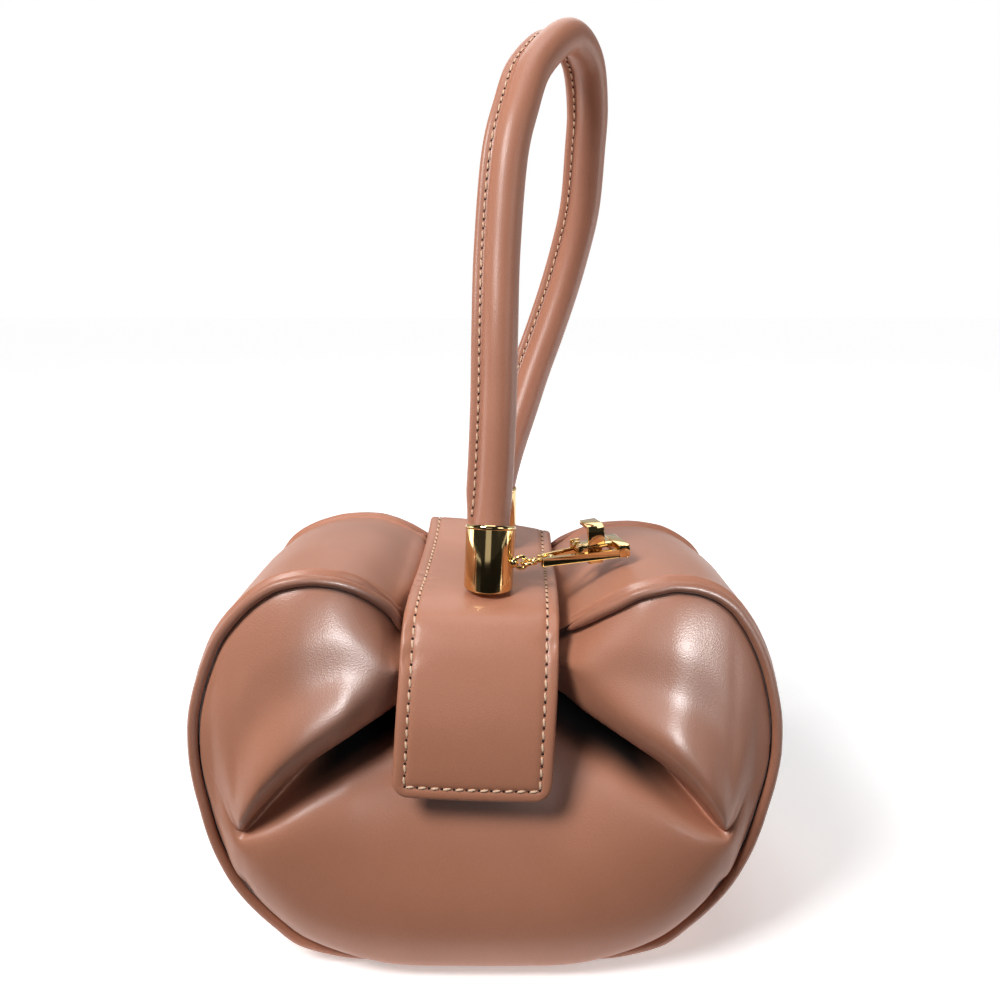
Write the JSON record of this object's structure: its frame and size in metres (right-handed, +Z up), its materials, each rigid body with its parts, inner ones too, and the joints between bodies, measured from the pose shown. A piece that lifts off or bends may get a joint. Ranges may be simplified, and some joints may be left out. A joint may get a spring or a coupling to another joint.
{
  "type": "wristlet bag",
  "caption": "Small soft leather wristlet bag with a pinched top, folded front, flap strap, rolled loop handle in metal ferrules and a swivel lever clip.",
  "frame": {"origin": "middle of the flat base the bag stands on", "axes": "+Z up, minus Y towards the front with the flap, +X to the right as seen from the front"},
  "size_m": [0.2048, 0.1446, 0.3282],
  "materials": {
    "leather": "smooth satin",
    "piping": "smooth satin",
    "gold": "polished"
  },
  "bodies": {
    "bag": {"front_panel": "leather", "back_panel": "leather", "gusset": "leather", "front_piping": "piping", "back_piping": "piping", "strap": "leather", "handle": "leather", "front_ferrule": "gold", "rear_ferrule": "gold", "clip_swivel": "gold", "clip_frame": "gold"},
    "lever": {"clip_lever": "gold"}
  },
  "joints": [
    {"name": "lever_hinge", "type": "hinge", "parent": "bag", "child": "lever", "pos_m": [0.03263, -0.0254, 0.14321], "axis": [0.2487, -0.9686, 0], "range_deg": [0, 35], "stiffness_Nm_per_rad": 0.02, "springref_deg": -11.46}
  ]
}
